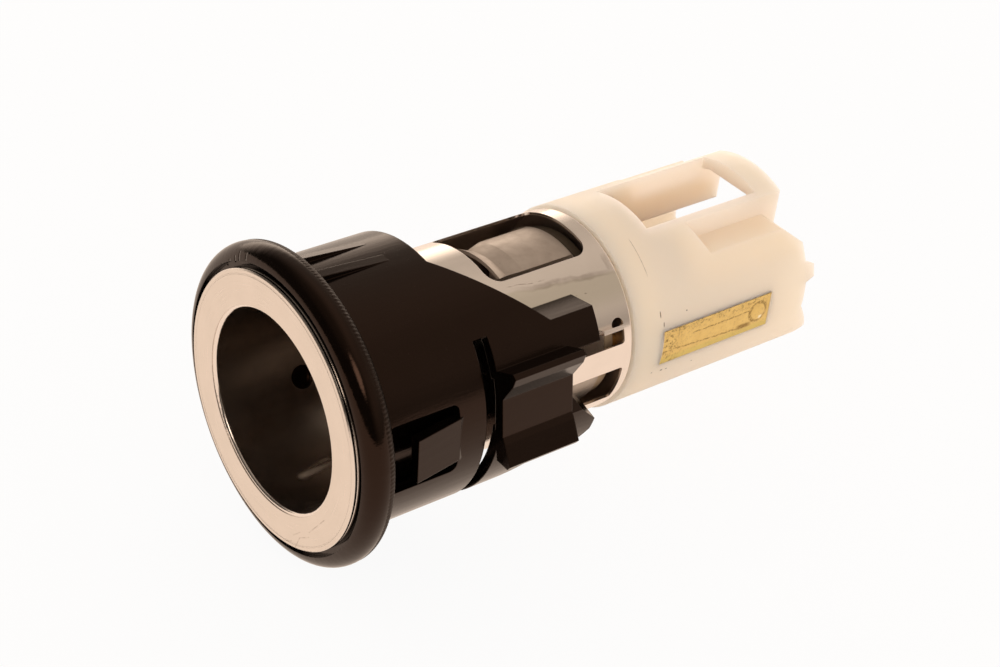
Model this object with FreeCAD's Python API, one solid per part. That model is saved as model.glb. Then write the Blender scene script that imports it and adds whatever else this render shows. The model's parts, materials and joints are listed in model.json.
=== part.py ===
import FreeCAD, Part
import math
import os

# Dashboard lighter socket with its snap-in bezel sleeve and plug-in connector housing.
# Millimetres. The bore runs along Y: the mouth faces -Y and the connector faces +Y.
# The origin lies on the bore axis, in the plane where the back of the rim meets the panel.
# Angles are turned about the bore axis from +Z towards +X.

Vec = FreeCAD.Vector
ORIGIN = Vec(0, 0, 0)
AXIS = Vec(0, 1, 0)

# Barrel: one drawn and plated steel shell with a flat ring at the mouth
bore_radius = 10.75
barrel_wall = 0.5
barrel_length = 38.3
flange_width = 3.6
flange_thickness = 1.0
mouth_step = 0.1              # from the ring face back to the rounded lip of the bore
mouth_round = 0.35
heel_round = 0.4
hem_size = 0.15
sized_bore_margin = 0.2       # the sized bore stops short of the window
bore_relief = 0.18            # the barrel is a little wider behind it
window_length = 12.9
window_width = 11.3
window_angle = -6.8
window_corner = 1.6
window_margin = 1.6           # from the window to the barrel floor
vent_radius = 1.3
vent_inset = 10.2             # from the ring face
vent_angle = -119.6
slot_length = 8.9
slot_margin = 0.8
slot_corner = 0.4
narrow_slot_angle = 72.8
narrow_slot_width = 1.9
wide_slot_angle = 105.4
wide_slot_width = 4.9
relief_radius = 0.8
relief_angle = 66.2
lance_angle = 68.0
lance_length = 2.7
lance_height = 0.8
lance_thickness = 0.5
lance_margin = 0.6

# Sleeve: one black moulding with rim, collar, wing and lamp clip
rim_depth = 4.1
rim_width = 1.63
ring_proud = 0.35             # the ring face stands forward of the rim
rim_groove = 0.65
web_thickness = 1.5
barrel_gap = 0.15
guide_wall = 0.8              # of the inner tube that steadies the barrel
guide_length = 10.5
guide_clearance = 0.2
light_space = 1.95            # between barrel and collar
collar_wall = 1.2
collar_length = 12.1
sleeve_turn = -9.4            # the sleeve sits turned against the barrel
light_gap = 1.8               # between collar and lamp clip
wing_start_angle = 18.8
wing_end_angle = 60.5
wing_lower_angle = 74.0
wing_margin = 1.0             # from the end of the slant to the end of the clip
gap_upper_angle = 57.5
gap_lower_angle = 150.0
low_wing_top_angle = 102.0
low_wing_end_angle = 165.0
rib_angles = (-6.4, 9.6)
rib_width = 1.2
rib_height = 0.65
rib_length = 8.7
tongue_angle = 95.0
tongue_width = 4.9
tongue_length = 5.85
tongue_lift = 1.0
cutout_start = 0.5
cutout_length = 8.4
cutout_side = 1.5
cutout_corner = 0.8

# Lamp clip on the wing: a shallow channel with a rolled rail above and a flared flange below
clip_length = 9.0
clip_floor_lift = 0.33        # of the channel floor, out from the collar
clip_wall = 1.25
clip_floor_top = 1.62
clip_floor_bottom = -2.68
rail_reach = 2.06
rail_top = 5.15
rail_thickness = 1.48
rail_round = 0.45
rail_root_angle = 2.0
skirt_reach = 1.15
skirt_bottom = -6.09
skirt_foot = 2.2
skirt_bend = 0.35
skirt_round = 0.45
finger_reach = 4.3
finger_overlap = 2.9
finger_gap = 0.3
finger_spread = 0.8           # degrees past the edges of the wing
low_finger_angles = (104.0, 113.0, 120.0, 125.0)
low_finger_slants = (2.3, 0.8)

# Contact clip: a split spring cup
cup_room = 0.85               # between cup and bore
cup_sheet = 0.45
cup_length = 10.15
cup_corner = 0.4
lip_room = 0.7
waist_room = 1.25
lip_length = 1.35
waist_length = 1.9
leaf_angle = -5.3             # of the upper one of three even leaves
slit_width = 12.05

# Stud stack through the barrel floor
stud_radius = 2.0
stud_head_radius = 4.2
stud_head_height = 1.2
stud_overhang = 2.4
stud_point = 0.5
stud_clearance = 0.15
nut_clearance = 0.05
bush_height = 2.2
bush_width = 1.7
bush_flange_room = 1.15       # between flange and bore
bush_flange_thickness = 1.1
boss_wall = 1.35
boss_clearance = 0.1
washer_radius = 4.4
washer_thickness = 0.8
spring_radius = 3.6
spring_thickness = 1.0
spring_split = 0.6
nut_across_flats = 7.0
nut_thickness = 3.2

# Connector housing: one pale nylon moulding
housing_step = 0.3            # proud of the barrel
housing_wall = 1.3
housing_length = 25.3
bulkhead_thickness = 4.05
opening_half_width = 4.27
opening_margin = 1.95
strap_width = 3.3
strap_thickness = 1.75
ledge_side_wall = 0.73
ledge_floor_wall = 1.6
recess_floor = 7.95
recess_length = 15.0
recess_ramp = 2.0
recess_end_floor = 6.2
recess_drop = 2.4
tail_top = -1.4
tail_bottom = -6.0
tail_length = 3.1
nub_angle = 75.5
nub_width = 1.5
nub_bevel = 0.5
nub_length = 1.4
nub_inset = 0.15

# Terminals
strip_width = 4.2
strip_length = 15.85
strip_sheet = 0.48
strip_gap = 0.05
dimple_radius = 1.25
dimple_height = 0.2
dimple_inset = 1.65
rivet_inset = 2.85            # from the inside of the housing to the rivet's axis
rivet_radius = 1.1
rivet_head_radius = 1.9
rivet_head_height = 0.65
rivet_head_bevel = 0.5
rivet_clearance = 0.1
strip_leg_margin = 0.9
blade_width = 6.3
blade_length = 17.7
blade_thickness = 0.8
blade_drop = 5.2
blade_point = 1.2
blade_hole_radius = 0.9
blade_plate_rise = 3.6

# Sizes that follow from the ones above
front = -rim_depth
mouth_depth = front + mouth_step
barrel_radius = bore_radius + barrel_wall
barrel_end = front + barrel_length
floor_front = barrel_end - barrel_wall
flange_radius = barrel_radius + flange_width
flange_back = front + flange_thickness
window_end = floor_front - window_margin
window_start = window_end - window_length
slot_end = floor_front - slot_margin
slot_start = slot_end - slot_length
lance_end = slot_end - lance_margin
pocket_radius = flange_radius + rim_groove
rim_radius = pocket_radius + rim_width
rim_round = (rim_depth - ring_proud) / 2
cutter_reach = 2 * rim_radius
barrel_seat = barrel_radius + barrel_gap
guide_radius = barrel_seat + guide_wall
web_back = flange_back + web_thickness
collar_inner = barrel_radius + light_space
collar_radius = collar_inner + collar_wall
clip_front = collar_length + light_gap
clip_end = clip_front + clip_length
clip_floor_x = collar_radius + clip_floor_lift
slant_end = clip_end - wing_margin
finger_start = clip_end - finger_overlap
finger_inner = barrel_radius + finger_gap
finger_end = clip_end + finger_reach
tongue_root = cutout_start + cutout_length
stud_hole_radius = stud_radius + stud_clearance
boss_radius = stud_hole_radius + boss_wall
bush_radius = boss_radius + bush_width
bush_flange_radius = bore_radius - bush_flange_room
cup_back = floor_front - bush_height
cup_floor = cup_back - cup_sheet
cup_front = cup_back - cup_length
cup_radius = bore_radius - cup_room
bulkhead_back = barrel_end + bulkhead_thickness
housing_radius = barrel_radius + housing_step
housing_inner = housing_radius - housing_wall
housing_end = barrel_end + housing_length
opening_start = bulkhead_back + opening_margin
strap_start = housing_end - strap_width
recess_side = opening_half_width + ledge_side_wall
recess_start = housing_end - recess_length
terminal_front = bulkhead_back + strip_gap
terminal_back = terminal_front + blade_thickness
washer_back = terminal_back + washer_thickness
spring_back = washer_back + spring_thickness
nut_back = spring_back + nut_thickness
stud_end = nut_back + stud_overhang
strip_back = terminal_front + strip_sheet
strip_end = terminal_front + strip_length
strip_face_x = math.sqrt(housing_radius ** 2 - strip_width ** 2 / 4)
rivet_x = housing_inner - rivet_inset
strip_leg_x = rivet_x - rivet_head_radius - strip_leg_margin


def turned(outline):
    """Solid of revolution about the bore axis from (radius, depth) corners.

    A corner with two more values is reached by an arc through that (radius, depth) point.
    """
    edges = []
    for here, there in zip(outline, outline[1:] + outline[:1]):
        start = Vec(here[0], here[1], 0)
        end = Vec(there[0], there[1], 0)
        if len(there) == 4:
            edges.append(Part.Arc(start, Vec(there[2], there[3], 0), end).toShape())
        else:
            edges.append(Part.makeLine(start, end))
    return Part.Face(Part.Wire(edges)).revolve(ORIGIN, AXIS, 360)


def arc_to(centre, radius, first, last):
    """Corner at the end of an arc, given its centre, radius and two angles in degrees."""
    middle = math.radians((first + last) / 2)
    end = math.radians(last)
    return (
        centre[0] + radius * math.cos(end),
        centre[1] + radius * math.sin(end),
        centre[0] + radius * math.cos(middle),
        centre[1] + radius * math.sin(middle),
    )


def rod(radius, start, end, x=0.0, z=0.0):
    return Part.makeCylinder(radius, end - start, Vec(x, start, z), AXIS)


def tube(outer, inner, start, end):
    return rod(outer, start, end).cut(rod(inner, start, end))


def block(x, y, z):
    """Box from (low, high) pairs along each axis."""
    size = (x[1] - x[0], y[1] - y[0], z[1] - z[0])
    return Part.makeBox(size[0], size[1], size[2], Vec(x[0], y[0], z[0]))


def turn(shape, angle):
    """Turn about the bore axis, from +Z towards +X."""
    moved = shape.copy()
    moved.rotate(ORIGIN, AXIS, angle)
    return moved


def along_bore(section, start, end):
    """Prism from (x, z) corners, running from one depth to another."""
    corners = [Vec(x, start, z) for x, z in section]
    return Part.Face(Part.makePolygon(corners + corners[:1])).extrude(Vec(0, end - start, 0))


def across(section, half_width):
    """Prism from (height, depth) corners, centred on X, standing up from the axis along Z."""
    corners = [Vec(-half_width, depth, height) for height, depth in section]
    return Part.Face(Part.makePolygon(corners + corners[:1])).extrude(Vec(2 * half_width, 0, 0))


def upright(section, low, high):
    """Prism from (x, depth) corners, standing from one height to another."""
    corners = [Vec(x, depth, low) for x, depth in section]
    return Part.Face(Part.makePolygon(corners + corners[:1])).extrude(Vec(0, 0, high - low))


def round_cutter(width, start, end, corner, base=0.0):
    """Cutter with rounded corners that passes outwards through the top of a tube."""
    body = block((-width / 2, width / 2), (start, end), (base, cutter_reach))
    edges = [e for e in body.Edges if abs(e.tangentAt(e.FirstParameter).z) > 0.9]
    return body.makeFillet(corner, edges)


def drill(radius, depth):
    """Cutter for a round hole through the top of a tube."""
    return Part.makeCylinder(radius, cutter_reach, Vec(0, depth, 0), Vec(0, 0, 1))


def mirrored(shape):
    return shape.mirror(ORIGIN, Vec(1, 0, 0))


def make_barrel():
    hem = flange_back - flange_thickness / 2
    mouth_centre = (bore_radius + mouth_round, mouth_depth + mouth_round)
    heel_centre = (barrel_radius - heel_round, barrel_end - heel_round)
    shell = turned([
        (bore_radius, mouth_centre[1]),
        arc_to(mouth_centre, mouth_round, 180, 270),
        (mouth_centre[0], front),
        (flange_radius - hem_size, front),
        (flange_radius, front + hem_size),
        (flange_radius, hem - hem_size),
        (flange_radius - hem_size, hem),
        (flange_radius, hem + hem_size),
        (flange_radius, flange_back),
        (barrel_radius, flange_back),
        (barrel_radius, heel_centre[1]),
        arc_to(heel_centre, heel_round, 0, 90),
        (boss_radius + boss_clearance, barrel_end),
        (boss_radius + boss_clearance, floor_front),
        (bore_radius + bore_relief, floor_front),
        (bore_radius + bore_relief, window_start - sized_bore_margin),
        (bore_radius, window_start - sized_bore_margin),
    ])
    window = round_cutter(window_width, window_start, window_end, window_corner)
    narrow = round_cutter(narrow_slot_width, slot_start, slot_end, slot_corner)
    wide = round_cutter(wide_slot_width, slot_start, slot_end, slot_corner)
    vent = drill(vent_radius, front + vent_inset)
    relief = drill(relief_radius, slot_end - relief_radius)
    lance_rise = (barrel_radius - barrel_wall / 2, barrel_radius + lance_height)
    lance = block((-lance_thickness, 0), (lance_end - lance_length, lance_end), lance_rise)
    rivet_hole = rod(rivet_radius + rivet_clearance, floor_front, barrel_end, rivet_x)
    cutters = [
        turn(window, window_angle),
        turn(narrow, narrow_slot_angle),
        turn(wide, wide_slot_angle),
        turn(vent, vent_angle),
        turn(relief, relief_angle),
        rivet_hole,
    ]
    return shell.cut(cutters).fuse(turn(lance, lance_angle)).removeSplitter()


def make_tongue():
    """Spring tongue that rises towards the rim, standing at the top of the collar."""
    tip = tongue_root - tongue_length
    section = [
        (collar_inner, tongue_root + collar_wall),
        (collar_inner, tongue_root),
        (collar_inner + tongue_lift, tip),
        (collar_radius + tongue_lift, tip),
        (collar_radius, tongue_root),
        (collar_inner + collar_wall / 2, tongue_root + collar_wall),
    ]
    return across(section, tongue_width / 2)


def make_rib():
    buried = collar_radius - collar_wall / 2
    section = [
        (buried, 0),
        (collar_radius + rib_height, 0),
        (collar_radius, rib_length),
        (buried, rib_length),
    ]
    return across(section, rib_width / 2)


def make_wing(outline, inner, start):
    """Piece of the sleeve's rear wall, cut out along (angle, depth) corners on the collar."""
    centre = sum(angle for angle, depth in outline) / len(outline)
    flat = [(collar_radius * math.sin(math.radians(a - centre)), depth) for a, depth in outline]
    wall = tube(collar_radius, inner, start, finger_end)
    return wall.common(turn(upright(flat, 0, cutter_reach), centre))


def make_wings():
    """Rear wall above and below the lamp gap, each cut off along a slant, and the lower finger."""
    buried = collar_length - collar_wall
    upper = [
        (wing_start_angle, buried),
        (wing_start_angle, collar_length),
        (wing_end_angle, slant_end),
        (wing_end_angle, finger_end),
        (wing_lower_angle, finger_end),
        (wing_lower_angle, clip_front),
        (gap_upper_angle, clip_front),
        (gap_upper_angle, buried),
    ]
    top, top_bevel, bottom_bevel, bottom = low_finger_angles
    lower = [
        (low_wing_top_angle, clip_front),
        (low_wing_top_angle, slant_end),
        (bottom, slant_end),
        (low_wing_end_angle, collar_length),
        (low_wing_end_angle, buried),
        (gap_lower_angle, buried),
        (gap_lower_angle, clip_front),
    ]
    low_finger = [
        (top, finger_start),
        (top, finger_end - low_finger_slants[0]),
        (top_bevel, finger_end),
        (bottom_bevel, finger_end),
        (bottom, finger_end - low_finger_slants[1]),
        (bottom, finger_start),
    ]
    return [
        make_wing(upper, collar_inner, buried),
        make_wing(lower, collar_inner, buried),
        make_wing(low_finger, finger_inner, finger_start),
    ]


def make_lamp_clip():
    inner_x = clip_floor_x - clip_wall
    rail_x = clip_floor_x + rail_reach
    skirt_x = clip_floor_x + skirt_reach
    rail_under = rail_top - rail_thickness
    root_angle = math.radians(wing_lower_angle - rail_root_angle)
    root_radius = collar_radius - collar_wall / 2
    section = [
        (inner_x, clip_floor_top),
        (root_radius * math.sin(root_angle), root_radius * math.cos(root_angle)),
        (rail_x - rail_round, rail_top),
        (rail_x, rail_top - rail_round),
        (rail_x - rail_round, rail_under),
        (clip_floor_x, clip_floor_top),
        (clip_floor_x, clip_floor_bottom),
        (clip_floor_x + skirt_bend, clip_floor_bottom - 2 * skirt_bend),
        (skirt_x, skirt_bottom + skirt_round),
        (skirt_x - skirt_round, skirt_bottom),
        (skirt_x - skirt_foot, skirt_bottom + skirt_bend),
        (inner_x, clip_floor_bottom - skirt_bend),
    ]
    return along_bore(section, clip_front, clip_end)


def make_finger():
    """Upper finger that lies on the barrel behind the wing."""
    top = collar_radius * math.cos(math.radians(wing_end_angle - finger_spread))
    bottom = collar_radius * math.cos(math.radians(wing_lower_angle + finger_spread))
    section = [(0, top - finger_gap), (collar_radius, top), (collar_radius, bottom), (0, bottom)]
    shell = tube(collar_radius, finger_inner, finger_start, finger_end)
    return shell.common(along_bore(section, finger_start, finger_end))


def make_sleeve():
    rim_centre = (rim_radius - rim_round, -rim_round)
    crest_angle = math.degrees(math.acos((pocket_radius - rim_centre[0]) / rim_round))
    crest_depth = rim_centre[1] - rim_round * math.sin(math.radians(crest_angle))
    shell = turned([
        (barrel_seat, flange_back),
        (pocket_radius, flange_back),
        (pocket_radius, crest_depth),
        arc_to(rim_centre, rim_round, -crest_angle, 90),
        (collar_radius, 0),
        (collar_radius, collar_length),
        (collar_inner, collar_length),
        (collar_inner, web_back),
        (guide_radius, web_back),
        (guide_radius, guide_length),
        (barrel_seat, guide_length),
    ])
    cutout_width = tongue_width + 2 * cutout_side
    cut_base = guide_radius + guide_clearance
    cutout = round_cutter(cutout_width, cutout_start, tongue_root, cutout_corner, cut_base)
    tongue_angles = (tongue_angle, tongue_angle + 180)
    cuts = [turn(cutout, a) for a in tongue_angles]
    additions = [turn(make_tongue(), a) for a in tongue_angles]
    additions += [turn(make_rib(), a) for a in rib_angles]
    additions += make_wings() + [make_lamp_clip(), make_finger()]
    return turn(shell.cut(cuts).fuse(additions).removeSplitter(), sleeve_turn)


def make_contact_clip():
    lip_radius = bore_radius - lip_room
    waist_radius = bore_radius - waist_room
    waist = cup_front + lip_length
    body = waist + waist_length
    bend = cup_corner - cup_sheet / 2
    cup = turned([
        (stud_hole_radius, cup_back),
        (stud_hole_radius, cup_floor),
        (cup_radius - cup_sheet - bend, cup_floor),
        (cup_radius - cup_sheet, cup_floor - bend),
        (cup_radius - cup_sheet, body),
        (waist_radius - cup_sheet, waist),
        (lip_radius - cup_sheet, cup_front),
        (lip_radius, cup_front),
        (waist_radius, waist),
        (cup_radius, body),
        (cup_radius, cup_back - cup_corner),
        (cup_radius - cup_corner, cup_back),
    ])
    slit_depths = (cup_front - lip_length, cup_floor)
    slit = block((-slit_width / 2, slit_width / 2), slit_depths, (0, cutter_reach))
    return cup.cut([turn(slit, leaf_angle + a) for a in (60, 180, 300)])


def make_stud():
    head_front = cup_floor - stud_head_height
    return turned([
        (0, head_front),
        (stud_head_radius - stud_point, head_front),
        (stud_head_radius, head_front + stud_point),
        (stud_head_radius, cup_floor),
        (stud_radius, cup_floor),
        (stud_radius, stud_end - stud_point),
        (stud_radius - stud_point, stud_end),
        (0, stud_end),
    ])


def make_bush():
    flange_end = cup_back + bush_flange_thickness
    return turned([
        (stud_hole_radius, cup_back),
        (bush_flange_radius, cup_back),
        (bush_flange_radius, flange_end),
        (bush_radius, flange_end),
        (bush_radius, floor_front),
        (boss_radius, floor_front),
        (boss_radius, barrel_end),
        (stud_hole_radius, barrel_end),
    ])


def make_recess():
    """Corner cut for the connector's latch, on the +X side, that drops towards the open end."""
    section = [
        (recess_floor, recess_start + recess_ramp),
        (recess_floor, housing_end - recess_drop),
        (recess_end_floor, housing_end),
        (recess_end_floor, housing_end + cutter_reach),
        (cutter_reach, housing_end + cutter_reach),
        (cutter_reach, recess_start),
        (housing_radius, recess_start),
    ]
    recess = across(section, cutter_reach / 2)
    return recess.translated(Vec(recess_side + cutter_reach / 2, 0, 0))


def make_housing():
    overall = rod(housing_radius, barrel_end, housing_end + tail_length)
    tail_section = [
        (cutter_reach, housing_end),
        (tail_top, housing_end),
        (tail_bottom, housing_end + tail_length),
        (cutter_reach, housing_end + tail_length),
    ]
    tail_cut = across(tail_section, cutter_reach)
    cavity = rod(housing_inner, bulkhead_back, housing_end + cutter_reach)
    inside = rod(housing_radius - housing_wall / 2, bulkhead_back, housing_end)

    strap_z = (housing_radius - strap_thickness, cutter_reach)
    strap = block((-recess_side, recess_side), (strap_start, housing_end), strap_z)
    ledge_depths = (recess_start - ledge_floor_wall, housing_end)
    ledge_z = (recess_end_floor - ledge_floor_wall, cutter_reach)
    ledge = block((opening_half_width, cutter_reach), ledge_depths, ledge_z)
    fills = [part.common(inside) for part in (strap, ledge, mirrored(ledge))]

    opening_x = (-opening_half_width, opening_half_width)
    opening = block(opening_x, (opening_start, strap_start), (recess_end_floor, cutter_reach))
    pocket_z = (-strip_width / 2 - strip_gap, strip_width / 2 + strip_gap)
    pocket_x = (strip_face_x - strip_sheet - strip_gap, cutter_reach)
    pocket = block(pocket_x, (bulkhead_back, strip_end + strip_gap), pocket_z)
    leg_slot = block((strip_leg_x, cutter_reach), (bulkhead_back, strip_back + strip_gap), pocket_z)
    stud_hole = rod(stud_hole_radius, barrel_end, bulkhead_back)
    rivet_hole = rod(rivet_radius + rivet_clearance, barrel_end, bulkhead_back, rivet_x)
    recess = make_recess()

    half = nub_width / 2
    nub_outline = [
        (-half - nub_bevel, housing_end - nub_length),
        (-half - nub_bevel, housing_end),
        (-half, housing_end + nub_length),
        (half, housing_end + nub_length),
        (half + nub_bevel, housing_end),
        (half + nub_bevel, housing_end - nub_length),
    ]
    nub = upright(nub_outline, housing_inner + nub_inset, housing_radius - nub_inset)
    shell = overall.cut([tail_cut, cavity]).fuse(fills)
    shell = shell.cut([opening, recess, mirrored(recess), pocket, leg_slot, stud_hole, rivet_hole])
    return shell.fuse([turn(nub, nub_angle), turn(nub, -nub_angle)]).removeSplitter()


def make_earth_strip():
    inner_x = strip_face_x - strip_sheet
    section = [
        (strip_leg_x, terminal_front),
        (strip_face_x, terminal_front),
        (strip_face_x, strip_end),
        (inner_x, strip_end),
        (inner_x, strip_back),
        (strip_leg_x, strip_back),
    ]
    strip = upright(section, -strip_width / 2, strip_width / 2)
    hole = rod(rivet_radius + rivet_clearance, terminal_front, strip_back, rivet_x)
    dimple_depth = strip_end - dimple_inset
    ball_radius = (dimple_radius ** 2 + dimple_height ** 2) / (2 * dimple_height)
    ball_x = strip_face_x + dimple_height - ball_radius
    ball = Part.makeSphere(ball_radius, Vec(ball_x, dimple_depth, 0))
    cap_base = Vec(strip_face_x, dimple_depth, 0)
    cap = Part.makeCylinder(dimple_radius, 2 * dimple_height, cap_base, Vec(1, 0, 0))
    return strip.cut(hole).fuse(ball.common(cap)).removeSplitter()


def make_rivet():
    return turned([
        (0, floor_front - rivet_head_height),
        (rivet_head_radius, floor_front - rivet_head_height),
        (rivet_head_radius, floor_front),
        (rivet_radius, floor_front),
        (rivet_radius, strip_back),
        (rivet_head_radius, strip_back),
        (rivet_head_radius - rivet_head_bevel, strip_back + rivet_head_height),
        (0, strip_back + rivet_head_height),
    ]).translated(Vec(rivet_x, 0, 0))


def make_live_terminal():
    half = blade_width / 2
    blade_end = terminal_front + blade_length
    heights = (-blade_drop - blade_thickness, -blade_drop)
    plate_heights = (heights[0], blade_plate_rise)
    plate = block((-half, half), (terminal_front, terminal_back), plate_heights)
    outline = [
        (-half, terminal_front),
        (half, terminal_front),
        (half, blade_end - blade_point),
        (half - blade_point, blade_end),
        (blade_point - half, blade_end),
        (-half, blade_end - blade_point),
    ]
    blade = upright(outline, heights[0], heights[1])
    stud_hole = rod(stud_hole_radius, terminal_front, terminal_back)
    hole_base = Vec(0, blade_end - blade_width / 2, heights[0])
    catch_hole = Part.makeCylinder(blade_hole_radius, blade_thickness, hole_base, Vec(0, 0, 1))
    return plate.fuse(blade).cut([stud_hole, catch_hole]).removeSplitter()


def make_spring_washer():
    ring = tube(spring_radius, stud_hole_radius, washer_back, spring_back)
    half = spring_split / 2
    return ring.cut(block((-half, half), (washer_back, spring_back), (0, cutter_reach)))


def make_nut():
    corner = nut_across_flats / math.sqrt(3)
    turns = [math.radians(60 * k) for k in range(6)]
    section = [(corner * math.cos(a), corner * math.sin(a)) for a in turns]
    hole = rod(stud_radius + nut_clearance, spring_back, nut_back)
    return along_bore(section, spring_back, nut_back).cut(hole)


pieces = {
    "sleeve": make_sleeve(),
    "barrel": make_barrel(),
    "housing": make_housing(),
    "contact_clip": make_contact_clip(),
    "centre_stud": make_stud(),
    "insulating_bush": make_bush(),
    "live_terminal": make_live_terminal(),
    "flat_washer": tube(washer_radius, stud_hole_radius, terminal_back, washer_back),
    "spring_washer": make_spring_washer(),
    "stud_nut": make_nut(),
    "earth_strip": make_earth_strip(),
    "earth_rivet": make_rivet(),
}

os.makedirs("parts", exist_ok=True)
for name, shape in pieces.items():
    shape.exportStep("parts/" + name + ".step")
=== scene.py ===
"""Looks of a car lighter socket: finishes, a knurled band, studio and camera, in metres."""
import json
import math

import bmesh
import bpy
from mathutils import Matrix, Vector


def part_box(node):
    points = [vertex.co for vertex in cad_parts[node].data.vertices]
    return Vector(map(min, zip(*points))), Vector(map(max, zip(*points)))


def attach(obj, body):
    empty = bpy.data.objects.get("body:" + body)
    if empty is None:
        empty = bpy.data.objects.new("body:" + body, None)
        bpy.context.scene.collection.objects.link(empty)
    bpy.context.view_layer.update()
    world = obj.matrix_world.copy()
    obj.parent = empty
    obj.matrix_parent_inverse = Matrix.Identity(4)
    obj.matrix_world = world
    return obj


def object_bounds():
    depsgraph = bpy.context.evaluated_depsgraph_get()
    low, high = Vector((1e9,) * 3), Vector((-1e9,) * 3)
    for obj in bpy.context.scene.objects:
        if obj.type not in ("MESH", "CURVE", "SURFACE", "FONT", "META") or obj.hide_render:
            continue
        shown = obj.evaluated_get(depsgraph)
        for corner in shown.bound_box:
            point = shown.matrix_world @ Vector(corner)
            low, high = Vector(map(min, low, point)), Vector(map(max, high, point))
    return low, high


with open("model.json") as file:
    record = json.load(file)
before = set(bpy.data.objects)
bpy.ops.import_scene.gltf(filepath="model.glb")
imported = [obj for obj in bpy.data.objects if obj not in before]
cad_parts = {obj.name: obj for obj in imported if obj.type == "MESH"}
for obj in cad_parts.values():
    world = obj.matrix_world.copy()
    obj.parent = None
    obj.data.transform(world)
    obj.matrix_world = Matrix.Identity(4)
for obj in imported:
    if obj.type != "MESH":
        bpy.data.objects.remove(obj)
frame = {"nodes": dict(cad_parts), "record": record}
cad_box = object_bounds()

MM = 0.001

# Places on the part, in millimetres. Depths run along the bore from the panel seat, and
# angles are in degrees about the bore, from +Z towards +X
ring_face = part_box("barrel")[0].y / MM
ring_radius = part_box("barrel")[1].x / MM
barrel_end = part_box("barrel")[1].y / MM
rim_radius = 17.13
rim_round = 1.875
bore_radius = 10.75
barrel_radius = 11.25
housing_radius = 11.55
strip_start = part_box("earth_strip")[0].y / MM
strip_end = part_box("earth_strip")[1].y / MM
strip_half_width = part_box("earth_strip")[1].z / MM
dimple_margin = 1.65
dimple_depth = strip_end - dimple_margin
stud_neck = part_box("contact_clip")[1].y / MM

# Soft borders between surfaces, each as (start, end)
crest_radii = (14.6, 15.0)
crest_depths = (0.0, -0.4)
nick_depths = (ring_face + 1.5, ring_face + 1.0)
face_depths = (ring_face + 0.02, ring_face + 0.1)
face_radii = (bore_radius, bore_radius + 0.35)
inside_radii = (bore_radius + 0.22, bore_radius + 0.30)
inside_depths = (ring_face + 0.3, ring_face + 0.6)
deep_depths = (17.0, 20.0)
outside_radii = (barrel_radius - 0.1, barrel_radius - 0.02)
outside_depths = (14.0, 15.0)
# where the painted shade on the ring's outer side starts
flange_radii = (ring_radius - 0.14, ring_radius - 0.06)
flange_depths = (ring_face + 0.08, ring_face + 0.2)
skin_radii = (housing_radius - 0.2, housing_radius - 0.1)
thread_depths = (stud_neck, stud_neck + 0.2)
# where the painted shade on the fibre under the barrel window starts
window_shade_radii = (6.0, 7.5)

# Nicks in the rim, as (angle, low radius, high radius)
rim_nicks = (
    (-22.8, 15.65, 16.3),
    (-27.7, 15.45, 16.4),
    (-30.6, 15.45, 16.0),
    (-35.0, 15.30, 15.7),
    (-41.9, 15.25, 15.55),
)
nick_half_angle = 0.6
nick_soft = 0.08

# Groove and scratches on the ring face, the scratches as pairs of (x, z), and a rubbed streak
# in the bore between two places of (angle, depth)
groove_radius = ring_radius - 0.55
groove_half_width = 0.09
ring_closeness = 7.0
ring_scratches = (
    ((5.66, -13.71), (6.44, -11.72)),
    ((6.44, -11.72), (8.01, -10.53)),
    ((7.97, -9.93), (10.41, -6.56)),
    ((3.16, -14.42), (5.06, -13.14)),
    ((5.24, -12.23), (6.44, -11.02)),
)
scratch_half_width = 0.09
scratch_strength = (0.35, 0.6, 0.05, 0.45)
bore_rub = ((-176.4, 0.9), (-172.6, 4.4))
rub_half_width = 0.75
rub_grain = (0.35, 0.6)

# Stains on the barrel. Rows follow a sloping level, in degrees, and are given as edge, half
# width, depths, softness, and how the strength follows a noise
stain_slope = 0.55            # degrees per millimetre of depth
stain_wander = 4.0
stain_edge = 19.4
tide_row = (stain_edge, 2.6, (23.0, 32.5), 2.5, (0.35, 0.60, 0.15, 0.45))
dash_row = (16.2, 0.4, (20.8, 25.0), 0.4, (0.42, 0.5, 0.0, 0.5))
dot_row = (28.4, 0.6, (26.0, 32.0), 0.5, (0.56, 0.62, 0.0, 0.6))
film_levels = (stain_edge - 0.5, stain_edge + 1.5)
film_angles = (60, 46)
film_strength = 0.6
rear_stain = ((32.0, 33.35), (7.0, 0.5))
rear_strength = 0.45

# Marks on the nylon, as (angle, depth, half angle, half depth), and its moulding line, a fine
# groove drawn as a line of painted shade
nylon_marks = (
    (68.6, 37.80, 2.4, 0.10),
    (74.8, 38.20, 1.9, 0.09),
    (71.4, 41.50, 0.5, 0.12),
    (105.6, 37.55, 0.5, 0.14),
    (106.4, 39.00, 0.8, 0.24),
    (106.8, 39.75, 0.5, 0.20),
    (108.7, 43.65, 0.5, 0.14),
)
nylon_speck_depths = (barrel_end + 8, barrel_end + 2)
mould_line_depth = barrel_end + 3.1
mould_line_half_width = 0.06
mould_line_angles = (25, 46)
mould_line_soft = 2.0

# Painted shade on the fibre under the barrel window
window_shade_angles = (-45, 40)
window_shade_soft = 6.0

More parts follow.
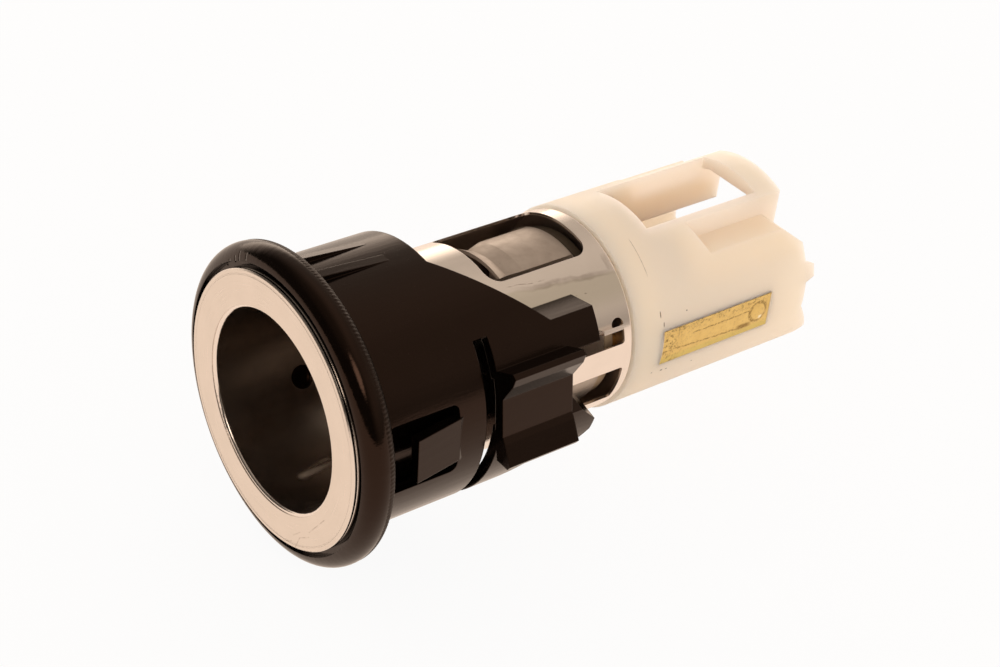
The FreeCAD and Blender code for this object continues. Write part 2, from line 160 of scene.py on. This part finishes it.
# Wear on the brass strip, with heights from its middle line
wear_wander = 0.35
upper_line = (0.61, 0.13)
upper_depths = (strip_start + 4.3, dimple_depth - 1.2)
upper_soft = 0.3
lower_line = (-0.58, 0.15)
lower_slope = -0.058
lower_depths = (dimple_depth - 1.0, dimple_depth - 1.6)
wear_ring_place = (dimple_depth - 0.1, 0.2)
wear_ring = (1.2, 0.30)
pitted_heights = (strip_half_width - 1.5, strip_half_width)
pitted_depths = (strip_start + 4.0, strip_start)
smear_place = ((-1.15, dimple_depth - 2.0), (0.45, 1.5))
# painted highlight on the dimple's dome
dimple_highlight_place = ((-0.5, dimple_depth + 0.25), (0.30, 0.36))
low_heights = (-1.0, -1.8)
wear_strength = (0.40, 0.58, 0.1, 0.9)
least_pitted = 0.25

# Thread of the centre stud
thread_pitch = 0.7
full_turn = 360.0

# Knurl on the back of the rim
knurl_teeth = 236
knurl_height = 0.09
knurl_sink = 0.02
knurl_angles = (12.0, 50.0)
knurl_rows = 7
knurl_taper = 4
steps_per_tooth = 4

# Colours: a pair is mixed by a noise
black_tones = ((0.0009, 0.0006, 0.0004, 1), (0.0022, 0.0015, 0.0010, 1))
dust_tone = (0.012, 0.009, 0.007, 1)
black_gloss_tint = (1.0, 0.60, 0.45, 1)
plate_tones = ((0.86, 0.79, 0.735, 1), (0.93, 0.855, 0.80, 1))
film_tone = (0.72, 0.675, 0.555, 1)
face_tones = ((0.78, 0.71, 0.64, 1), (0.88, 0.795, 0.725, 1))
bore_tones = ((0.42, 0.36, 0.31, 1), (0.50, 0.43, 0.38, 1))
deep_tone = (0.50, 0.395, 0.325, 1)
rub_tone = (0.95, 0.875, 0.78, 1)
stain_tone = (0.30, 0.245, 0.19, 1)
# painted shade: the ring's outer side is nearly black, for the dark gap to the rim
flange_shade_tone = (0.03, 0.02, 0.015, 1)
nylon_tones = ((0.96, 0.785, 0.645, 1), (0.975, 0.825, 0.705, 1))
# scuffs and specks, and painted shade along the moulding groove
scuff_and_groove_shade_tone = (0.20, 0.13, 0.08, 1)
spring_tones = ((0.40, 0.33, 0.28, 1), (0.54, 0.47, 0.41, 1))
steel_tones = ((0.45, 0.42, 0.38, 1), (0.60, 0.57, 0.53, 1))
thread_tones = ((0.40, 0.37, 0.33, 1), (0.60, 0.57, 0.53, 1))
brass_tones = ((0.58, 0.35, 0.12, 1), (0.80, 0.53, 0.20, 1))
strip_tones = ((0.74, 0.53, 0.19, 1), (0.92, 0.71, 0.28, 1))
strip_low_tone = (0.72, 0.585, 0.20, 1)
wear_tone = (0.44, 0.30, 0.11, 1)
# painted highlight on the brass dimple
dimple_highlight_tone = (1.0, 0.95, 0.70, 1)
fibre_tones = ((0.34, 0.25, 0.16, 1), (0.46, 0.35, 0.235, 1))
# painted shade on the fibre under the barrel window
window_shade_tone = (0.07, 0.05, 0.03, 1)
pit_shade = 0.55

# Gloss, and how deep light goes into the nylon
black_index = 1.40
black_roughness = 0.165
knurl_roughness = 0.5
black_swing = 0.035
dust_dullness = 0.14
crest_polish = 0.06
side_roughness = (0.13, 0.22)
face_roughness = (0.27, 0.36)
bore_roughness = (0.22, 0.27)
deep_dullness = 0.3
nylon_roughness = (0.32, 0.46)
nylon_scatter = 4.5 * MM
nylon_depths = (1.0, 0.94, 0.88)  # red, green and blue
spring_roughness = 0.42
spring_purity = 0.7           # the rest is dull film
metal_roughness = 0.3
tarnish_swing = (0.1, -0.05)
thread_roughness = (0.40, 0.26)
fibre_roughness = (0.6, 0.75)
strip_roughness = (0.30, 0.55)

# Relief in millimetres: how far edges are softened, and the depth of bumps
black_edge = 0.14
streak_relief = 0.018
black_grain = 0.004
nick_relief = 0.25
plate_edge = 0.05
drawn_relief = 0.004
drawn_inside = 0.1            # share of it left in the bore
turned_relief = 0.006
groove_relief = 0.05
nylon_edge = 0.2
nylon_swell = 0.05
nylon_grain = 0.006
metal_edge = 0.06
metal_grain = 0.004
pit_relief = 0.004
thread_relief = 0.5
tarnish_relief = 0.01
fibre_edge = 0.1
fibre_relief = 0.02
strip_edge = 0.08
wear_relief = 0.03
strip_grain = 0.01

# Values of a noise between which a mark begins to show and shows fully
dust_shows = (0.60, 0.74)
speck_shows = (0.66, 0.74)
speck_area = (0.45, 0.6)
hair_shows = (0.70, 0.76)
nylon_speck_shows = (0.70, 0.78)
pit_shows = (0.60, 0.72)
strip_pit_shows = (0.50, 0.64)
smear_shows = (0.3, 0.5)

# Camera, fitted to the photograph: roll in degrees, lens and sensor in millimetres
camera_place = Vector((140.33, -98.82, 127.80)) * MM
camera_aim = Vector((0.21, 24.83, -0.23)) * MM
camera_roll = 6.977
camera_lens = 76.07
camera_near = 0.01
sensor_width = 36.0

# Studio, in metres and watts: light levels, and the parts of a unit direction where they
# change
floor_drop = 0.05 * MM
floor_size = 4.0
floor_colour = (0.95, 0.93, 0.90, 1)
floor_glow = 0.93
white = (1, 1, 1, 1)
backdrop_white = 1.0
warm_white = (1.0, 0.86, 0.745, 1)
warm_room = (1.0, 0.84, 0.69, 1)
warm_floor = (1.0, 0.82, 0.68, 1)
fill_light = 1.42
fill_ceiling = 0.66
fill_heights = (0.1, 0.9)
horizon_light = 0.30
room_light = 0.50
wall_heights = (0.0, 0.4)
ceiling_light = 0.66
ceiling_heights = (0.7, 0.95)
front_light = 0.06
front_ceiling = 0.24
front_heights = (0.5, 0.95)
front_sides = (0.3, -0.4)
window_light = 2.0
window_side = (-0.84, 0.55)
window_reach = (0.55, 0.95)
window_heights = (0.5, 0.05)
glint_light = 3.0
glint_side = (0.66, -0.36, 0.66)
glint_reach = (0.965, 0.995)
softbox_watts = 0.10
softbox_place = (-0.24, 0.28, 0.34)
softbox_aim = (0, 0.025, 0)
softbox_size = 0.25


# Node helpers

def add(tree, kind, settings=None, **sockets):
    """Adds a shader node; sockets are named with _ for a space."""
    node = tree.nodes.new(kind)
    for key, value in (settings or {}).items():
        setattr(node, key, value)
    supply(tree, node, **sockets)
    return node


def supply(tree, node, **sockets):
    for name, value in sockets.items():
        feed(tree, node.inputs[name.replace("_", " ")], value)


def feed(tree, socket, value):
    """Sets a socket to a value, or links it to another node's output."""
    if isinstance(value, bpy.types.NodeSocket):
        tree.links.new(value, socket)
    else:
        socket.default_value = value


def calc(tree, operation, *values):
    node = add(tree, "ShaderNodeMath", {"operation": operation})
    for socket, value in zip(node.inputs, values):
        feed(tree, socket, value)
    return node.outputs["Value"]


def ramp(tree, value, low, high, start=0.0, end=1.0):
    """Smooth step from one value to another as the input runs from low to high."""
    node = add(
        tree, "ShaderNodeMapRange", {"interpolation_type": "SMOOTHSTEP"},
        Value=value, From_Min=low, From_Max=high, To_Min=start, To_Max=end,
    )
    return node.outputs["Result"]


def vary(tree, value, start, end):
    """Spreads the middle of a noise over a range."""
    return ramp(tree, value, 0.3, 0.7, start, end)


def both(tree, *masks):
    result = masks[0]
    for mask in masks[1:]:
        result = calc(tree, "MULTIPLY", result, mask)
    return result


def either(tree, *masks):
    result = masks[0]
    for mask in masks[1:]:
        result = calc(tree, "MAXIMUM", result, mask)
    return result


def negative(tree, value):
    return calc(tree, "MULTIPLY", value, -1.0)


def total_square(tree, *values):
    squares = [calc(tree, "MULTIPLY", value, value) for value in values]
    return calc(tree, "ADD", *squares)


def span(tree, value, low, high, soft):
    """1 where the value lies between low and high, with soft ends."""
    rise = ramp(tree, value, low - soft, low + soft)
    fall = ramp(tree, value, high - soft, high + soft, 1.0, 0.0)
    return both(tree, rise, fall)


def line(tree, value, centre, half_width):
    """1 on a fine line where the value meets the centre, 0 away from it."""
    away = calc(tree, "ABSOLUTE", calc(tree, "SUBTRACT", value, centre))
    return ramp(tree, away, half_width * 0.3, half_width, 1.0, 0.0)


def mark(tree, across, along, centre, half_size):
    """1 on a small soft patch, given its centre and half size in the two directions."""
    return both(
        tree,
        line(tree, across, centre[0], half_size[0]),
        line(tree, along, centre[1], half_size[1]),
    )


def stroke(tree, across, along, start, end, half_width):
    """1 on a straight scratch from one place to another, 0 away from it."""
    step = (end[0] - start[0], end[1] - start[1])
    square = step[0] ** 2 + step[1] ** 2
    away = (calc(tree, "SUBTRACT", across, start[0]), calc(tree, "SUBTRACT", along, start[1]))
    parts = [calc(tree, "MULTIPLY", value, size / square) for value, size in zip(away, step)]
    share = calc(tree, "MAXIMUM", calc(tree, "ADD", *parts), 0.0)
    share = calc(tree, "MINIMUM", share, 1.0)
    gaps = [
        calc(tree, "SUBTRACT", value, calc(tree, "MULTIPLY", share, size))
        for value, size in zip(away, step)
    ]
    return line(tree, calc(tree, "SQRT", total_square(tree, *gaps)), 0.0, half_width)


def blend(tree, factor, first, second):
    node = add(tree, "ShaderNodeMix", {"data_type": "RGBA"})
    for socket, value in ((0, factor), (6, first), (7, second)):
        feed(tree, node.inputs[socket], value)
    return node.outputs[2]


def in_millimetres(tree, stretch=(1, 1, 1)):
    place = tree.nodes.new("ShaderNodeTexCoord").outputs["Object"]
    scale = tuple(s / MM for s in stretch)
    return add(tree, "ShaderNodeMapping", Vector=place, Scale=scale).outputs["Vector"]


def separate(tree, place):
    return add(tree, "ShaderNodeSeparateXYZ", Vector=place).outputs


def about_bore(tree):
    """Radius, depth and angle about the bore, in millimetres and degrees."""
    x, y, z = separate(tree, in_millimetres(tree))
    angle = calc(tree, "DEGREES", calc(tree, "ARCTAN2", x, z))
    return calc(tree, "SQRT", total_square(tree, x, z)), y, angle


def wrapped(tree, radius, depth, angle, stretch):
    """Place on the unrolled surface, for grain that follows the bore round or along."""
    round_bore = calc(tree, "MULTIPLY", angle, math.radians(barrel_radius) * stretch[0])
    along = calc(tree, "MULTIPLY", depth, stretch[1])
    return add(tree, "ShaderNodeCombineXYZ", X=round_bore, Y=along, Z=radius).outputs["Vector"]


def noise(tree, place, scale, detail=3.0, rough=0.55):
    """Noise with so many features per millimetre."""
    node = add(
        tree, "ShaderNodeTexNoise",
        Vector=place, Scale=scale, Detail=detail, Roughness=rough,
    )
    return node.outputs["Fac"]


def new_material(name):
    material = bpy.data.materials.new(name)
    material.use_nodes = True
    tree = material.node_tree
    tree.nodes.clear()
    output = tree.nodes.new("ShaderNodeOutputMaterial")
    shader = tree.nodes.new("ShaderNodeBsdfPrincipled")
    tree.links.new(shader.outputs["BSDF"], output.inputs["Surface"])
    return material, tree, shader


def bump(tree, shader, edge_radius, *layers):
    """Layers of (height, depth in millimetres) over edges softened by a radius."""
    soft = add(tree, "ShaderNodeBevel", {"samples": 4}, Radius=edge_radius * MM)
    normal = soft.outputs["Normal"]
    for height, depth in layers:
        node = add(tree, "ShaderNodeBump", Height=height, Distance=depth * MM, Normal=normal)
        normal = node.outputs["Normal"]
    tree.links.new(normal, shader.inputs["Normal"])


# Finishes

def black_plastic(name, roughness):
    """Black moulding, dusty in places, glossier on the rim, with nicks in the rim's crest."""
    material, tree, shader = new_material(name)
    radius, depth, angle = about_bore(tree)
    place = in_millimetres(tree)
    cloud = noise(tree, place, scale=0.35)
    grain = noise(tree, place, scale=6.0, detail=4.0)
    flow = wrapped(tree, radius, depth, angle, stretch=(1.6, 0.12))
    streaks = noise(tree, flow, scale=1.2, detail=4.0)
    dust = ramp(tree, noise(tree, place, scale=2.6, detail=6.0, rough=0.7), *dust_shows)
    clean = blend(tree, cloud, *black_tones)
    colour = blend(tree, both(tree, dust, cloud), clean, dust_tone)

    dull = vary(tree, streaks, roughness - black_swing, roughness + black_swing)
    dull = calc(tree, "ADD", dull, ramp(tree, dust, 0.0, 1.0, 0.0, dust_dullness))
    on_crest = ramp(tree, radius, *crest_radii)
    polish = both(tree, on_crest, ramp(tree, depth, *crest_depths, 0.0, crest_polish))

    nicks = [
        both(tree, line(tree, angle, at, nick_half_angle), span(tree, radius, low, high, nick_soft))
        for at, low, high in rim_nicks
    ]
    cut = both(tree, either(tree, *nicks), ramp(tree, depth, *nick_depths))

    supply(
        tree, shader, Base_Color=colour, IOR=black_index, Specular_Tint=black_gloss_tint,
        Roughness=calc(tree, "SUBTRACT", dull, polish),
    )
    layers = (
        (streaks, streak_relief), (grain, black_grain), (negative(tree, cut), nick_relief),
    )
    bump(tree, shader, black_edge, *layers)
    return material


def plated_steel():
    """Plated sheet: satin ring face with turning lines, bright drawn sides, dark bore."""
    material, tree, shader = new_material("plated_steel")
    radius, depth, angle = about_bore(tree)
    place = in_millimetres(tree)
    cloud = noise(tree, place, scale=0.3)
    flow = wrapped(tree, radius, depth, angle, stretch=(1.2, 0.06))
    drawn = noise(tree, flow, scale=1.2, detail=3.0)
    close_rings = calc(tree, "MULTIPLY", radius, ring_closeness)
    turned = wrapped(tree, close_rings, depth, angle, stretch=(0.25, 1))
    rings = noise(tree, turned, scale=1.0, detail=4.0)
    dabs = wrapped(tree, radius, depth, angle, stretch=(0.6, 1))
    broken = noise(tree, dabs, scale=2.4, detail=4.0)
    specks = ramp(tree, noise(tree, place, scale=3.4, detail=5.0, rough=0.7), *speck_shows)
    long_place = in_millimetres(tree, stretch=(1, 1, 0.12))
    slanted = add(tree, "ShaderNodeMapping", Vector=long_place, Rotation=(0, 0.7, 0))
    hairs = noise(tree, slanted.outputs["Vector"], scale=3.0, detail=2.0)
    scratches = ramp(tree, hairs, *hair_shows)

    at_front = ramp(tree, depth, *face_depths, 1.0, 0.0)
    on_face = both(tree, at_front, ramp(tree, radius, *face_radii))
    in_bore = ramp(tree, radius, *inside_radii, 1.0, 0.0)
    inside = both(tree, in_bore, ramp(tree, depth, *inside_depths))
    outside = both(tree, ramp(tree, radius, *outside_radii), ramp(tree, depth, *outside_depths))
    flange_side = both(tree, ramp(tree, radius, *flange_radii), ramp(tree, depth, *flange_depths))
    deep = both(tree, inside, ramp(tree, depth, *deep_depths))
    groove = both(tree, on_face, line(tree, radius, groove_radius, groove_half_width))

    centred = calc(tree, "SUBTRACT", noise(tree, place, scale=0.5), 0.5)
    wander = calc(tree, "MULTIPLY", centred, stain_wander)
    slope = calc(tree, "MULTIPLY", depth, stain_slope)
    level = calc(tree, "SUBTRACT", calc(tree, "ADD", angle, wander), slope)
    film = both(tree, outside, ramp(tree, level, *film_levels), ramp(tree, angle, *film_angles))
    rows = [
        both(
            tree,
            line(tree, level, edge, half_width),
            span(tree, depth, *depths, soft),
            ramp(tree, texture, *strength),
        )
        for (edge, half_width, depths, soft, strength), texture in (
            (tide_row, cloud), (dash_row, broken), (dot_row, broken),
        )
    ]
    rear = both(tree, mark(tree, angle, depth, *rear_stain), broken, rear_strength)
    x, _, z = separate(tree, place)
    strokes = [stroke(tree, x, z, *ends, scratch_half_width) for ends in ring_scratches]
    scratched = both(tree, on_face, either(tree, *strokes), ramp(tree, broken, *scratch_strength))
    marks = either(tree, both(tree, outside, either(tree, *rows, rear)), scratched)
    not_inside = ramp(tree, inside, 0.0, 1.0, 1.0, 0.0)
    spots = both(tree, specks, ramp(tree, cloud, *speck_area), not_inside)
    rub_ends = [(math.radians(at) * bore_radius, start) for at, start in bore_rub]
    unrolled = calc(tree, "MULTIPLY", angle, math.radians(bore_radius))
    rub = stroke(tree, unrolled, depth, *rub_ends, rub_half_width)
    rub = both(tree, inside, rub, ramp(tree, drawn, *rub_grain))

    bright = blend(tree, cloud, *plate_tones)
    bright = blend(tree, both(tree, film, film_strength), bright, film_tone)
    bright = blend(tree, on_face, bright, blend(tree, cloud, *face_tones))
    inner = blend(tree, drawn, *bore_tones)
    inner = blend(tree, deep, inner, deep_tone)
    inner = blend(tree, rub, inner, rub_tone)
    colour = blend(tree, inside, bright, inner)
    colour = blend(tree, either(tree, spots, marks), colour, stain_tone)
    # painted shade on the ring's outer side, in the gap to the rim
    colour = blend(tree, flange_side, colour, flange_shade_tone)

    side_rough = vary(tree, drawn, *side_roughness)
    face_rough = vary(tree, rings, *face_roughness)
    duller = both(tree, either(tree, deep, rub), deep_dullness)
    inner_rough = calc(tree, "ADD", vary(tree, cloud, *bore_roughness), duller)
    rough = side_rough
    for mask, own_rough in ((on_face, face_rough), (inside, inner_rough)):
        change = calc(tree, "SUBTRACT", own_rough, side_rough)
        rough = calc(tree, "ADD", rough, both(tree, mask, change))

    supply(tree, shader, Base_Color=colour, Metallic=1.0, Roughness=rough)
    fine_lines = both(tree, on_face, calc(tree, "ADD", rings, scratches))
    sides = both(tree, drawn, ramp(tree, inside, 0.0, 1.0, 1.0, drawn_inside))
    layers = (
        (sides, drawn_relief), (fine_lines, turned_relief),
        (negative(tree, groove), groove_relief),
    )
    bump(tree, shader, plate_edge, *layers)
    return material


def pale_nylon():
    """Translucent moulding with scuffs, specks, and painted shade along a fine moulding groove."""
    material, tree, shader = new_material("pale_nylon")
    radius, depth, angle = about_bore(tree)
    place = in_millimetres(tree)
    cloud = noise(tree, place, scale=0.12)
    grain = noise(tree, place, scale=4.0, detail=4.0)
    dirt = noise(tree, place, scale=2.2, detail=6.0, rough=0.75)
    specks = ramp(tree, dirt, *nylon_speck_shows)
    # painted shade along the fine groove of the moulding line
    mould_line = both(
        tree,
        line(tree, depth, mould_line_depth, mould_line_half_width),
        span(tree, angle, *mould_line_angles, mould_line_soft),
    )
    scuffs = [mark(tree, angle, depth, patch[:2], patch[2:]) for patch in nylon_marks]
    near_barrel = both(tree, specks, ramp(tree, depth, *nylon_speck_depths))
    marks = either(tree, both(tree, mould_line, grain), *scuffs, near_barrel)
    on_skin = both(tree, marks, ramp(tree, radius, *skin_radii))
    supply(
        tree, shader,
        Base_Color=blend(tree, on_skin, blend(tree, cloud, *nylon_tones), scuff_and_groove_shade_tone),
        Roughness=vary(tree, grain, *nylon_roughness),
        Subsurface_Weight=1.0,
        Subsurface_Radius=nylon_depths,
        Subsurface_Scale=nylon_scatter,
    )
    bump(tree, shader, nylon_edge, (cloud, nylon_swell), (grain, nylon_grain))
    return material


def metal(name, tones, roughness, purity=1.0):
    """Plain metal with cloudy tarnish, pits and fine grain."""
    material, tree, shader = new_material(name)
    place = in_millimetres(tree)
    cloud = noise(tree, place, scale=0.8, detail=5.0)
    pits = ramp(tree, noise(tree, place, scale=3.0, detail=6.0, rough=0.7), *pit_shows)
    pit_tone = tuple(value * pit_shade for value in tones[0][:3]) + (1,)
    base = blend(tree, cloud, *tones)
    dull_end, clean_end = (roughness + swing for swing in tarnish_swing)
    supply(
        tree, shader,
        Base_Color=blend(tree, both(tree, pits, cloud), base, pit_tone),
        Metallic=purity,
        Roughness=vary(tree, cloud, dull_end, clean_end),
    )
    grain = noise(tree, place, scale=7.0)
    bump(tree, shader, metal_edge, (grain, metal_grain), (pits, pit_relief))
    return material


def threaded_steel():
    """Steel with a screw thread on the shank behind the contact clip."""
    material, tree, shader = new_material("threaded_steel")
    _, depth, angle = about_bore(tree)
    cloud = noise(tree, in_millimetres(tree), scale=0.8, detail=5.0)
    along = calc(tree, "DIVIDE", depth, thread_pitch)
    turns = calc(tree, "ADD", along, calc(tree, "DIVIDE", angle, full_turn))
    on_shank = ramp(tree, depth, *thread_depths)
    thread = both(tree, calc(tree, "PINGPONG", turns, 0.5), on_shank)
    supply(
        tree, shader, Base_Color=blend(tree, cloud, *thread_tones), Metallic=1.0,
        Roughness=vary(tree, cloud, *thread_roughness),
    )
    bump(tree, shader, metal_edge, (thread, thread_relief), (cloud, tarnish_relief))
    return material


def fibre():
    """Pressed fibre, with painted shade under the barrel window."""
    material, tree, shader = new_material("fibre")
    radius, _, angle = about_bore(tree)
    cloud = noise(tree, in_millimetres(tree), scale=1.5, detail=5.0)
    under_window = span(tree, angle, *window_shade_angles, window_shade_soft)
    # painted shade: the fibre is darkened under the barrel window
    window_shade = both(tree, ramp(tree, radius, *window_shade_radii), under_window)
    supply(
        tree, shader,
        Base_Color=blend(tree, window_shade, blend(tree, cloud, *fibre_tones), window_shade_tone),
        Roughness=vary(tree, cloud, *fibre_roughness),
    )
    bump(tree, shader, fibre_edge, (cloud, fibre_relief))
    return material


def worn_brass():
    """Aged brass with the rubbed outline that a plug contact has left round the dimple, and a
    painted highlight on the dimple.
    """
    material, tree, shader = new_material("worn_brass")
    place = in_millimetres(tree)
    _, depth, height = separate(tree, place)
    cloud = noise(tree, place, scale=0.7, detail=5.0)
    fine = noise(tree, place, scale=3.2, detail=6.0, rough=0.72)
    centred = calc(tree, "SUBTRACT", noise(tree, place, scale=1.3), 0.5)
    level = calc(tree, "ADD", height, calc(tree, "MULTIPLY", centred, wear_wander))

    upper_part = span(tree, depth, *upper_depths, upper_soft)
    upper = both(tree, line(tree, level, *upper_line), upper_part)
    along = calc(tree, "SUBTRACT", depth, strip_start)
    slope = calc(tree, "MULTIPLY", along, lower_slope)
    sloping = line(tree, calc(tree, "SUBTRACT", level, slope), *lower_line)
    lower = both(tree, sloping, ramp(tree, depth, *lower_depths))
    from_ring = [
        calc(tree, "SUBTRACT", value, middle)
        for value, middle in zip((depth, level), wear_ring_place)
    ]
    ring = line(tree, calc(tree, "SQRT", total_square(tree, *from_ring)), *wear_ring)
    lines = either(tree, upper, lower, ring)
    edge = ramp(tree, height, *pitted_heights)
    start = ramp(tree, depth, *pitted_depths)
    pitted = ramp(tree, either(tree, edge, start), 0.0, 1.0, least_pitted, 1.0)
    pits = both(tree, ramp(tree, fine, *strip_pit_shows), pitted)
    smear = both(tree, mark(tree, level, depth, *smear_place), ramp(tree, fine, *smear_shows))
    marks = either(tree, both(tree, lines, ramp(tree, fine, *wear_strength)), pits, smear)

    base = blend(tree, cloud, *strip_tones)
    base = blend(tree, ramp(tree, level, *low_heights), base, strip_low_tone)
    base = blend(tree, marks, base, wear_tone)
    # painted highlight on the dimple
    base = blend(tree, mark(tree, height, depth, *dimple_highlight_place), base, dimple_highlight_tone)
    rough = ramp(tree, marks, 0.0, 1.0, *strip_roughness)
    supply(tree, shader, Base_Color=base, Metallic=1.0, Roughness=rough)
    bump(tree, shader, strip_edge, (marks, wear_relief), (fine, strip_grain))
    return material


finishes = {
    "black_plastic": black_plastic("black_plastic", black_roughness),
    "plated_steel": plated_steel(),
    "pale_nylon": pale_nylon(),
    "spring_metal": metal("spring_metal", spring_tones, spring_roughness, spring_purity),
    "steel": metal("steel", steel_tones, metal_roughness),
    "fibre": fibre(),
    "brass": metal("brass", brass_tones, metal_roughness),
}
knurl_finish = black_plastic("black_plastic_knurled", knurl_roughness)
own_finishes = {"earth_strip": worn_brass(), "centre_stud": threaded_steel()}


def dress_nodes():
    for subpart in frame["record"]["subparts"]:
        name = subpart["node"]
        materials = frame["nodes"][name].data.materials
        materials.clear()
        materials.append(own_finishes.get(name) or finishes[subpart["material_slot"]])


# Pieces

def make_knurl():
    """Band of fine teeth round the rounded back edge of the rim."""
    centre_radius = rim_radius - rim_round
    steps = steps_per_tooth * knurl_teeth
    low, high = knurl_angles
    form = bmesh.new()
    grid = []
    for row in range(knurl_rows):
        share = row / (knurl_rows - 1)
        tilt = math.radians(low + (high - low) * share)
        swell = min(1.0, knurl_taper * share, knurl_taper * (1 - share))
        ring = []
        for step in range(steps):
            turn = 2 * math.pi * step / steps
            tooth = 0.5 + 0.5 * math.cos(turn * knurl_teeth)
            reach = rim_round - knurl_sink + swell * (knurl_sink + knurl_height * tooth)
            radius = (centre_radius + reach * math.cos(tilt)) * MM
            depth = (reach * math.sin(tilt) - rim_round) * MM
            place = (radius * math.sin(turn), depth, radius * math.cos(turn))
            ring.append(form.verts.new(place))
        grid.append(ring)
    for near, far in zip(grid, grid[1:]):
        for step in range(steps):
            after = (step + 1) % steps
            form.faces.new((near[step], near[after], far[after], far[step]))
    form.normal_update()
    mesh = bpy.data.meshes.new("rim_knurl")
    form.to_mesh(mesh)
    form.free()
    mesh.polygons.foreach_set("use_smooth", [True] * len(mesh.polygons))
    mesh.materials.append(knurl_finish)
    knurl = bpy.data.objects.new("rim_knurl", mesh)
    bpy.context.scene.collection.objects.link(knurl)
    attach(knurl, "root")


# Studio

def mix_shaders(tree, factor, first, second):
    mix = tree.nodes.new("ShaderNodeMixShader")
    for socket, value in zip(mix.inputs, (factor, first.outputs[0], second.outputs[0])):
        tree.links.new(value, socket)
    return mix


def make_world():
    """White to the camera; to shiny surfaces a room, dim in front, with a low window behind."""
    world = bpy.data.worlds.new("studio")
    bpy.context.scene.world = world
    world.use_nodes = True
    tree = world.node_tree
    tree.nodes.clear()
    output = tree.nodes.new("ShaderNodeOutputWorld")
    towards = tree.nodes.new("ShaderNodeTexCoord").outputs["Generated"]
    x, y, z = separate(tree, towards)

    wall = ramp(tree, z, *wall_heights, horizon_light, room_light)
    overhead = ramp(tree, z, *ceiling_heights, 0.0, ceiling_light - room_light)
    room = calc(tree, "ADD", wall, overhead)
    front = ramp(tree, z, *front_heights, front_light, front_ceiling)
    dim = both(tree, ramp(tree, y, *front_sides), calc(tree, "SUBTRACT", room, front))
    parts = [calc(tree, "MULTIPLY", value, side) for value, side in zip((x, y), window_side)]
    sideways = ramp(tree, calc(tree, "ADD", *parts), *window_reach)
    window = both(tree, sideways, ramp(tree, z, *window_heights), window_light)
    level = calc(tree, "ADD", calc(tree, "SUBTRACT", room, dim), window)
    towards_glint = add(tree, "ShaderNodeVectorMath", {"operation": "DOT_PRODUCT"})
    feed(tree, towards_glint.inputs[0], towards)
    feed(tree, towards_glint.inputs[1], glint_side)
    glint = ramp(tree, towards_glint.outputs["Value"], *glint_reach, 0.0, glint_light)
    level = calc(tree, "ADD", level, glint)
    soft_fill = ramp(tree, z, *fill_heights, fill_light, fill_ceiling)
    fill_level = calc(tree, "ADD", window, soft_fill)

    backdrop = add(tree, "ShaderNodeBackground", Color=white, Strength=backdrop_white)
    studio = add(tree, "ShaderNodeBackground", Color=warm_room, Strength=level)
    fill = add(tree, "ShaderNodeBackground", Color=warm_white, Strength=fill_level)
    path = tree.nodes.new("ShaderNodeLightPath").outputs
    shiny = mix_shaders(tree, path["Is Glossy Ray"], fill, studio)
    surface = mix_shaders(tree, path["Is Camera Ray"], shiny, backdrop)
    tree.links.new(surface.outputs[0], output.inputs["Surface"])


def make_floor():
    """Pale floor, white to the camera and warm to shiny surfaces, with a soft shadow."""
    mesh = bpy.data.meshes.new("floor")
    half = floor_size / 2
    low = cad_box[0][2] - floor_drop
    corners = [(-half, -half, low), (half, -half, low), (half, half, low), (-half, half, low)]
    mesh.from_pydata(corners, [], [(0, 1, 2, 3)])
    floor = bpy.data.objects.new("floor", mesh)
    bpy.context.scene.collection.objects.link(floor)
    material = bpy.data.materials.new("floor")
    material.use_nodes = True
    tree = material.node_tree
    tree.nodes.clear()
    output = tree.nodes.new("ShaderNodeOutputMaterial")
    diffuse = add(tree, "ShaderNodeBsdfDiffuse", Color=floor_colour)
    path = tree.nodes.new("ShaderNodeLightPath").outputs
    hue = blend(tree, path["Is Camera Ray"], warm_floor, white)
    glow = add(tree, "ShaderNodeEmission", Color=hue, Strength=backdrop_white)
    rays = [path[f"Is {kind} Ray"] for kind in ("Camera", "Glossy", "Transmission")]
    share = calc(tree, "MULTIPLY", either(tree, *rays), floor_glow)
    surface = mix_shaders(tree, share, diffuse, glow)
    tree.links.new(surface.outputs[0], output.inputs["Surface"])
    mesh.materials.append(material)


def make_softbox():
    lamp = bpy.data.lights.new("softbox", "AREA")
    lamp.shape = "RECTANGLE"
    lamp.size = softbox_size
    lamp.size_y = softbox_size
    lamp.energy = softbox_watts
    lamp.color = warm_white[:3]
    holder = bpy.data.objects.new("softbox", lamp)
    holder.location = softbox_place
    aim = Vector(softbox_aim) - Vector(softbox_place)
    holder.rotation_euler = aim.to_track_quat("-Z", "Y").to_euler()
    holder.visible_glossy = False
    bpy.context.scene.collection.objects.link(holder)


def make_camera():
    data = bpy.data.cameras.new("camera")
    data.lens = camera_lens
    data.sensor_width = sensor_width
    data.sensor_fit = "HORIZONTAL"
    data.clip_start = camera_near
    camera = bpy.data.objects.new("camera", data)
    look = (camera_aim - camera_place).to_track_quat("-Z", "Y").to_matrix().to_4x4()
    turn = Matrix.Rotation(math.radians(camera_roll), 4, "Z")
    camera.matrix_world = Matrix.Translation(camera_place) @ look @ turn
    bpy.context.scene.collection.objects.link(camera)
    bpy.context.scene.camera = camera


dress_nodes()
make_knurl()
make_world()
make_floor()
make_softbox()
make_camera()
bpy.context.scene.view_settings.view_transform = "Standard"
